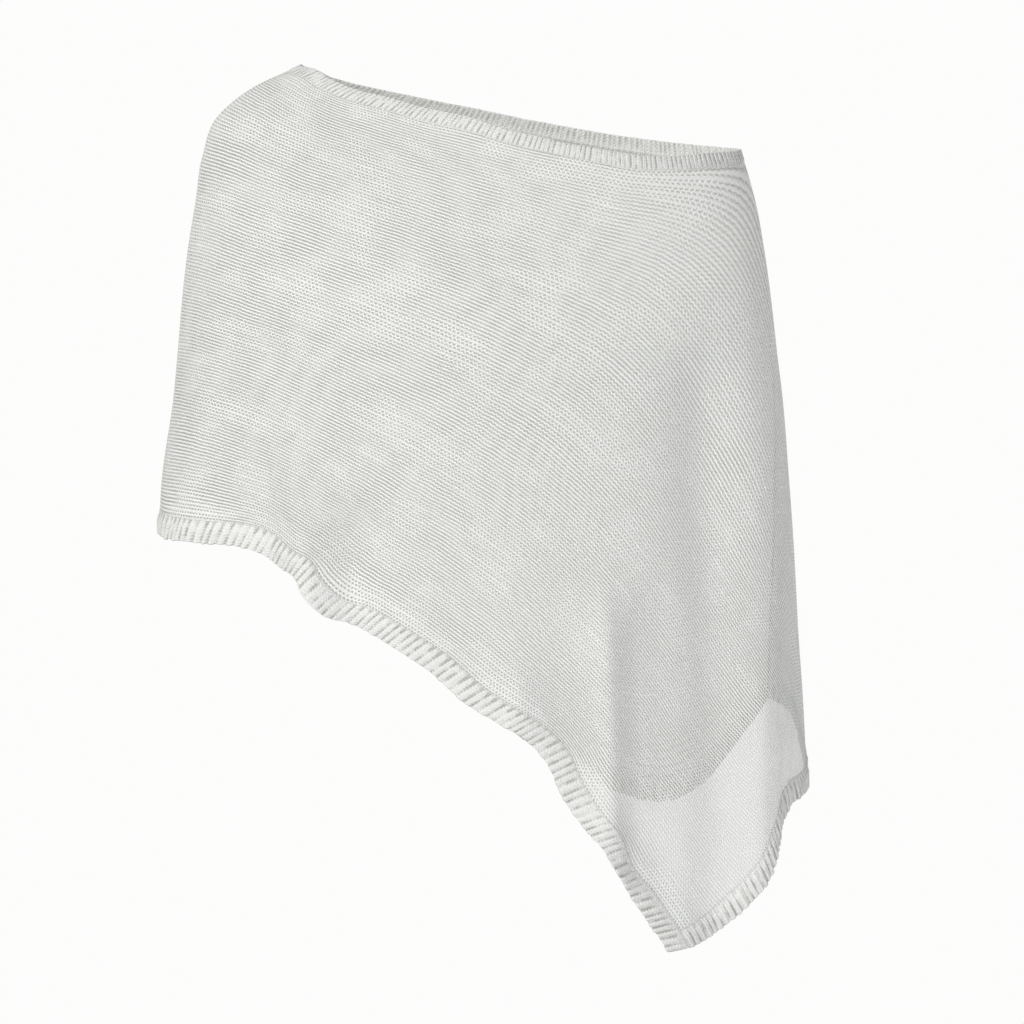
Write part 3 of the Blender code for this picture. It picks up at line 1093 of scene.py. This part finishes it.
@dataclass(frozen=True)
class RibKnit:
    """The denser rib knit of the bands: stitches and yarn lines down each rib, with painted shade in the
    grooves and on the lower yarn.
    """

    name: str = "rib_knit"
    yarn: YarnFinish = field(
        default_factory=lambda: YarnFinish(light=(0.87, 0.868, 0.848, 1.0), painted_shade=(0.42, 0.41, 0.38, 1.0))
    )
    fuzz_scales: tuple[float, float] = (2.4, 1.1)
    fuzz: float = 0.8
    stitch_share: float = 0.4
    stitch_slant: float = 1.2
    stitch_fuzz: float = 0.5
    lines: float = 2.0
    line_fuzz: float = 0.45
    yarn_height: float = 0.7
    groove_scales: tuple[float, float] = (5.3, 0.25)
    groove_patches: tuple[float, float] = (0.3, 0.62)
    groove_depth: tuple[float, float] = (0.25, 1.0)
    groove_sides: tuple[float, float] = (0.24, 0.6)
    groove_fuzz: float = 0.2
    # These four settings paint shade into the colour: into the grooves and onto the lower yarn.
    groove_shade: float = 0.65
    painted_shading_start: float = 0.4
    painted_shading_rise: float = 0.6
    painted_shading_top: float = 0.9
    open_from: float = 0.3
    open_rows: float = 3.0
    open_ribs: float = 0.35
    open_fuzz: float = 0.6
    open_edge: tuple[float, float] = (0.55, 1.1)
    film: float = 0.5
    start_fuzz: float = 1.6
    start_rows: tuple[float, float] = (-0.3, 1.3)
    stitch_bump: float = 0.55 * MM

    def groove(self, nodes: Nodes, rib: Socket, row: Socket, middle: Socket, fuzz: Socket) -> Socket:
        """Mark the grooves between the ribs, each one uneven in depth.

        Args:
            nodes: The material's nodes.
            rib: The place across the ribs, whole in each groove.
            row: The place down them.
            middle: The distance from the middle of the rib.
            fuzz: A fine noise.

        Returns:
            How deep in a groove a place is.
        """
        strength = nodes.grain(nodes.math("ROUND", rib), row, self.groove_scales, 1.0)
        depth = nodes.step(strength, *self.groove_patches, *self.groove_depth)
        sides = nodes.step(nodes.scaled(fuzz, self.groove_fuzz, middle), *self.groove_sides)
        return nodes.times(sides, depth)

    def cover(self, nodes: Nodes, row: Socket, groove: Socket, fuzz: Socket) -> Socket:
        """Let the yarn cover less next to the knit, most of all in the grooves.

        Args:
            nodes: The material's nodes.
            row: The place down the ribs.
            groove: How deep in a groove a place is.
            fuzz: A fine noise.

        Returns:
            How closely the yarn covers.
        """
        near = nodes.step(row, self.open_from, self.open_rows, 1.0, 0.0)
        sheer = nodes.times(near, nodes.plus(groove, self.open_ribs))
        cover = nodes.step(nodes.scaled(fuzz, self.open_fuzz, sheer), *self.open_edge, 1.0, self.film)
        return nodes.times(cover, nodes.step(nodes.scaled(fuzz, self.start_fuzz, row), *self.start_rows))

    def material(self) -> bpy.types.Material:
        """Build the material.

        Returns:
            The material.
        """
        nodes = Nodes(self.name)
        rib, row = nodes.knit_coordinates()
        middle = nodes.math("ABSOLUTE", nodes.minus(nodes.math("FRACT", rib), 0.5))
        fuzz = nodes.grain(rib, row, self.fuzz_scales, 3.0)
        groove = self.groove(nodes, rib, row, middle, fuzz)
        slanted = nodes.scaled(middle, self.stitch_slant, row)
        stitch = nodes.wave(nodes.scaled(fuzz, self.stitch_fuzz, slanted))
        line = nodes.wave(nodes.scaled(fuzz, self.line_fuzz, nodes.times(rib, self.lines)))
        stitches = nodes.times(stitch, self.stitch_share)
        yarns = nodes.scaled(line, self.yarn_height - self.stitch_share, stitches)
        height = nodes.scaled(fuzz, self.fuzz, yarns)
        # Painted shade: the colour is darker on the lower yarn and darker again in the grooves.
        raised = nodes.scaled(height, self.painted_shading_rise, self.painted_shading_start)
        painted_shading = nodes.minus(raised, nodes.times(groove, self.groove_shade))
        colour = nodes.blend(nodes.step(painted_shading, 0.0, self.painted_shading_top), self.yarn.painted_shade, self.yarn.light)
        normal = nodes.bump(height, self.stitch_bump)
        cover = self.cover(nodes, row, groove, fuzz)
        return nodes.surface(self.yarn.open_shader(nodes, cover, colour, normal))


@dataclass
class KnitPanels:
    """The body of the knitted strip, front and back, one stitch pattern running through both."""

    pattern: Pattern
    finish: SheerKnit = field(default_factory=SheerKnit)
    stitches: float = 380.0
    lift: float = 0.65 * MM

    def knit_uvs(self, points: Array) -> Array:
        """The knit coordinates of the whole strip's grid, from its sewn end to its free end.

        The courses run from rib to rib and even out in between, and so do the stitches along them.

        Args:
            points: The strip's points by row and column.

        Returns:
            Stitches along the courses and courses from the upper edge, by row and column.
        """
        rows, columns = points.shape[:2]
        down, along = np.meshgrid(np.linspace(0, 1, rows), np.linspace(0, 1, columns), indexing="ij")
        net = YarnNet(points)
        courses = net.settle((down == 0) | (down == 1), down, guided=True) * self.finish.courses
        stitches = net.settle((along == 0) | (along == 1), along) * self.stitches
        return np.stack([stitches, courses], axis=-1)

    def panel(self, name: str, grid: Array, uvs: Array, node: str) -> bpy.types.Object:
        """Build one panel in place of its solid.

        Args:
            name: The piece's name.
            grid: Its points and outward directions by row and column.
            uvs: Its knit coordinates.
            node: The solid that it stands for.

        Returns:
            The piece.
        """
        piece = grid_piece(name, grid[..., :3] + self.lift * grid[..., 3:], uvs, grid[..., 3:])
        piece.data.materials.append(self.material)
        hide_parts(node)
        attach(piece, BODY)
        return piece

    def build(self) -> list[bpy.types.Object]:
        """Build both panels, which meet on the held side.

        Returns:
            The front and the back.
        """
        self.material = self.finish.material()
        form, pattern = self.pattern.form, self.pattern
        back = form.rows(pattern.back_places[:-1, ::-1])
        front = form.rows(pattern.front_places[:-1, :-1])
        front[:, 0] = back[:, -1]
        meet = back.shape[1] - 1
        uvs = self.knit_uvs(np.concatenate([back[:, :-1, :3], front[..., :3]], axis=1))
        return [
            self.panel("front_knit", front, uvs[:, meet:], "front_panel"),
            self.panel("back_knit", back, uvs[:, : meet + 1], "back_panel"),
        ]


@dataclass
class RibBand:
    """A ribbed band along an edge: a closed soft shell with a raised rib for each of its wales.

    The ribs are uneven in width, height and reach, and the grooves between them fade out
    towards the knit at uneven heights.
    """

    name: str
    seam_line: Array
    free_line: Array
    pitch: float
    nodes: tuple[str, ...]
    seed: int
    wall: float = 0.9 * MM
    rise: float = 1.9 * MM
    inner_rise: float = 0.4 * MM
    start: float = 0.8 * MM
    scallop: float = 1.9 * MM
    flute: float = 0.9 * MM
    lap: float = 3.0 * MM
    depth_steps: int = 9
    flat_share: float = 0.94
    bend_steps: int = 7
    row_height: float = 2.7 * MM
    rib_widths: tuple[float, float] = (0.76, 1.26)
    rib_heights: tuple[float, float] = (0.75, 1.1)
    rib_reaches: tuple[float, float] = (0.1, 1.0)
    reach_sharpness: float = 1.3
    crown: float = 0.3
    groove_depths: tuple[float, float] = (0.35, 1.0)
    groove_tops: tuple[float, float] = (-0.1, 0.4)
    groove_width: float = 0.22
    groove_fade: float = 0.5
    sway_ribs: int = 4
    full_from: float = 0.4
    rib_parts: tuple[float, ...] = (0.0, 0.1, 0.21, 0.35, 0.5, 0.65, 0.79, 0.9)
    strength: tuple[tuple[float, float], ...] = ((0.0, 0.85), (1.0, 0.85))

    def uneven(self, count: int) -> None:
        """Choose the unevenness of each rib and groove.

        Args:
            count: How many ribs there are.
        """
        chance = np.random.default_rng(self.seed)
        self.width = chance.uniform(*self.rib_widths, count)
        self.size = chance.uniform(*self.rib_heights, count)
        self.reach = chance.uniform(*self.rib_reaches, count) ** self.reach_sharpness
        self.groove = chance.uniform(*self.groove_depths, count + 1)
        self.groove_top = chance.uniform(*self.groove_tops, count + 1)
        self.sway = chance.uniform(-1.0, 1.0, count // self.sway_ribs + 3)

    def build(self, material: bpy.types.Material) -> bpy.types.Object:
        """Build the band.

        Args:
            material: The band's finish.

        Returns:
            The piece.
        """
        walked = walk(self.free_line[:, :3])
        count = int(round(walked[-1] / self.pitch))
        self.uneven(count)
        ribs = np.append((np.arange(count)[:, None] + np.array(self.rib_parts)).ravel(), float(count))
        sides = np.concatenate([[0.0], np.cumsum(self.width)]) / self.width.sum() * walked[-1]
        marks = np.interp(ribs, np.arange(count + 1), sides)
        seam, free = (read_line(marks, walked, line) for line in (self.seam_line, self.free_line))
        which = np.minimum(ribs.astype(int), count - 1)
        beside = np.rint(ribs).astype(int)
        part = ribs - which
        arch = np.sqrt(np.clip(np.sin(np.pi * part), 0, 1))
        near = np.exp(-((np.minimum(part, 1 - part) / self.groove_width) ** 2))
        relief = smooth_curve(*zip(*self.strength), marks / walked[-1])
        sway = smooth_curve(np.arange(len(self.sway)) * float(self.sway_ribs), self.sway, ribs)
        depth = np.linalg.norm((free - seam)[:, :3], axis=1)
        further = self.scallop / depth * self.reach[which] * arch * relief
        rows, uvs = [], []
        for share, level in self.profile():
            fade = soft_step(0, self.groove_fade, share - self.groove_top[beside]) * relief
            height = self.size[which] * (1 - self.crown + self.crown * arch)
            height = height * (1 - self.groove[beside] * fade * near)
            past = share * (1 + further) - self.lap / depth * (share <= 0)
            base = seam + (free - seam) * past[:, None]
            grown = soft_step(0.0, self.full_from, share)
            outer = self.start + grown * (self.wall - self.start + self.rise * height)
            inner = -self.inner_rise * (grown * (1 - height) + 1 - grown)
            offset = inner + (outer - inner) * level + self.flute * sway * share**2
            rows.append(base[:, :3] + offset[:, None] * unit(base[:, 3:]))
            uvs.append(np.stack([ribs, past * depth / self.row_height], axis=-1))
        piece = grid_piece(self.name, np.stack(rows), np.stack(uvs))
        piece.data.materials.append(material)
        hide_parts(*self.nodes)
        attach(piece, BODY)
        return piece

    def profile(self) -> list[tuple[float, float]]:
        """Lay the band's cross-section.

        Returns:
            How far down the band each point is, and how far out, from 0 to 1.
        """
        flat = self.flat_share
        shares = np.linspace(0, flat, self.depth_steps)
        inner = [(float(share), 0.0) for share in shares]
        angles = np.linspace(0, math.pi, self.bend_steps)[1:-1]
        bend = [(flat + (1 - flat) * math.sin(a), 0.5 - 0.5 * math.cos(a)) for a in angles]
        outer = [(float(share), 1.0) for share in shares[::-1]]
        return inner + bend + outer + [(0.0, 0.0)]


@dataclass
class Bands:
    """The ribbed bands of the neck, the hem and the free end."""

    pattern: Pattern
    finish: RibKnit = field(default_factory=RibKnit)
    end_finish: RibKnit = field(default_factory=lambda: RibKnit("end_rib_knit", lines=2.3, stitch_share=0.15))
    neck_pitch: float = 4.1 * MM
    hem_pitch: float = 6.6 * MM
    end_pitch: float = 6.2 * MM
    neck_steps: int = 300

    def build(self) -> list[bpy.types.Object]:
        """Build the bands.

        Returns:
            The pieces of the neck, the hem and the free end.
        """
        material = self.finish.material()
        pattern, rows = self.pattern, self.pattern.form.rows
        shares = np.linspace(0, 1, self.neck_steps)
        back = shares[::-1][1:]
        neck_free = np.concatenate([pattern.neck_front.at(shares), pattern.neck_back.at(back)])
        neck_seam = np.concatenate([pattern.under_neck_front.at(shares), pattern.under_neck_back.at(back)])
        front, behind = pattern.front_places, pattern.back_places[:, ::-1]
        hem_seam, hem_free = (np.concatenate([behind[row, :-1], front[row]]) for row in (-2, -1))
        neck = RibBand(
            "neck_band",
            rows(neck_seam),
            rows(neck_free),
            self.neck_pitch,
            ("neck_rib_front", "neck_rib_back"),
            seed=11,
            rise=0.7 * MM,
            scallop=0.5 * MM,
            flute=0.4 * MM,
            rib_parts=(0.0, 0.12, 0.3, 0.5, 0.7, 0.88),
        )
        hem = RibBand(
            "hem_band",
            rows(hem_seam),
            rows(hem_free),
            self.hem_pitch,
            ("hem_rib_front", "hem_rib_back"),
            seed=12,
            strength=HEM_RELIEF,
        )
        end = RibBand(
            "end_band", rows(front[:-1, -2]), rows(front[:-1, -1]), self.end_pitch, ("end_rib",), seed=13
        )
        return [neck.build(material), hem.build(material), end.build(self.end_finish.material())]


@dataclass
class SideSeam:
    """The sewn seam down the back of the far arm: a thin soft roll with its stitches drawn in."""

    pattern: Pattern
    width: float = 2.6 * MM
    rise: float = 1.0 * MM
    under: float = 0.3 * MM
    stitch: float = 3.0 * MM
    pinch: float = 0.22
    first_row: float = 4.0
    steps_per_stitch: int = 4
    sides: int = 8

    def build(self, material: bpy.types.Material) -> bpy.types.Object:
        """Build the seam.

        Args:
            material: The seam's finish.

        Returns:
            The piece.
        """
        seam = self.pattern.seam
        count = int(round(seam.length / self.stitch))
        turns = np.linspace(0, count, count * self.steps_per_stitch + 1)
        line = self.pattern.form.rows(seam.at(turns / count))
        middle, outward = line[:, :3], line[:, 3:]
        aside = np.cross(outward, unit(np.gradient(middle, axis=0)))
        full = 1 - self.pinch * (0.5 + 0.5 * np.cos(2 * np.pi * turns))
        full[0] = full[-1] = 0.0
        rows, uvs = [], []
        for angle in np.linspace(0, 2 * np.pi, self.sides + 1):
            out = self.under + self.rise * (0.5 - 0.5 * math.cos(angle)) * full
            across = self.width / 2 * math.sin(angle) * full
            rows.append(middle + out[:, None] * outward + across[:, None] * aside)
            uvs.append(np.stack([turns, np.full(len(turns), self.first_row + angle / math.pi)], axis=-1))
        piece = grid_piece("side_seam", np.stack(rows), np.stack(uvs))
        piece.data.materials.append(material)
        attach(piece, BODY)
        return piece


@dataclass
class Studio:
    """A plain pale floor, a white surround, soft lights and the camera."""

    floor_at: Place = (0.15, 0.0, -1.35)
    floor_radius: float = 2.4
    floor_sides: int = 96
    floor_colour: Colour = (0.86, 0.86, 0.85, 1.0)
    lamps: Sequence[Lamp] = LAMPS
    lit_point: Place = (0.15, 0.0, -0.33)
    camera_at: Place = (EYE_X, -VIEW_DISTANCE, EYE_Z)
    lens: float = 114.26
    sensor: float = 36.0
    view_end: float = 50.0
    surround_colour: Colour = (1.0, 1.0, 0.995, 1.0)
    surround: float = 0.98
    fill: float = 0.37

    def build(self) -> None:
        """Lay the floor, hang the lights and set the camera."""
        self.floor()
        self.world()
        for lamp in self.lamps:
            self.light(lamp)
        self.camera()

    def floor(self) -> None:
        """A pale round floor, out of the camera's view from the front."""
        nodes = Nodes("floor_white")
        disc = bmesh.new()
        bmesh.ops.create_circle(disc, cap_ends=True, segments=self.floor_sides, radius=self.floor_radius)
        bmesh.ops.translate(disc, verts=disc.verts, vec=self.floor_at)
        floor = add_mesh("floor", disc)
        matt = nodes.result("ShaderNodeBsdfDiffuse", self.floor_colour)
        floor.data.materials.append(nodes.surface(matt))

    def world(self) -> None:
        """A white surround that the camera sees brighter than it lights the cloth."""
        world = bpy.data.worlds.new("surround")
        world.use_nodes = True
        tree = world.node_tree
        seen = tree.nodes.new("ShaderNodeLightPath")
        strength = tree.nodes.new("ShaderNodeMix")
        strength.data_type = "FLOAT"
        strength.inputs[2].default_value = self.fill
        strength.inputs[3].default_value = self.surround
        tree.links.new(seen.outputs["Is Camera Ray"], strength.inputs[0])
        background = tree.nodes["Background"]
        background.inputs["Color"].default_value = self.surround_colour
        tree.links.new(strength.outputs[0], background.inputs["Strength"])
        bpy.context.scene.world = world

    def light(self, lamp: Lamp) -> None:
        """Hang a light that faces the garment.

        Args:
            lamp: The light.
        """
        data = bpy.data.lights.new(lamp.name, "AREA")
        data.size = lamp.size
        data.energy = lamp.power
        data.color = lamp.colour
        hung = add_object(lamp.name, data)
        hung.location = lamp.at
        towards = Vector(self.lit_point) - Vector(lamp.at)
        hung.rotation_euler = towards.to_track_quat("-Z", "Y").to_euler()

    def camera(self) -> None:
        """The level camera of the photograph."""
        data = bpy.data.cameras.new("camera")
        data.lens = self.lens
        data.sensor_width = self.sensor
        data.clip_end = self.view_end
        camera = add_object("camera", data)
        camera.location = self.camera_at
        camera.rotation_euler = (math.pi / 2, 0.0, 0.0)
        bpy.context.scene.camera = camera
        bpy.context.scene.view_settings.view_transform = "Standard"


def main() -> None:
    """Build the garment's pieces and the studio in order."""
    logging.basicConfig(level=logging.INFO, format="%(message)s")
    pattern = Pattern()
    front, back = KnitPanels(pattern).build()
    bands = Bands(pattern).build()
    neck, hem, end = bands
    seam = SideSeam(pattern).build(neck.data.materials[0])
    Studio().build()
    for piece in (front, back, *bands, seam):
        LOG.info("%s: %d faces", piece.name, len(piece.data.polygons))


if __name__ == "__main__":
    main()
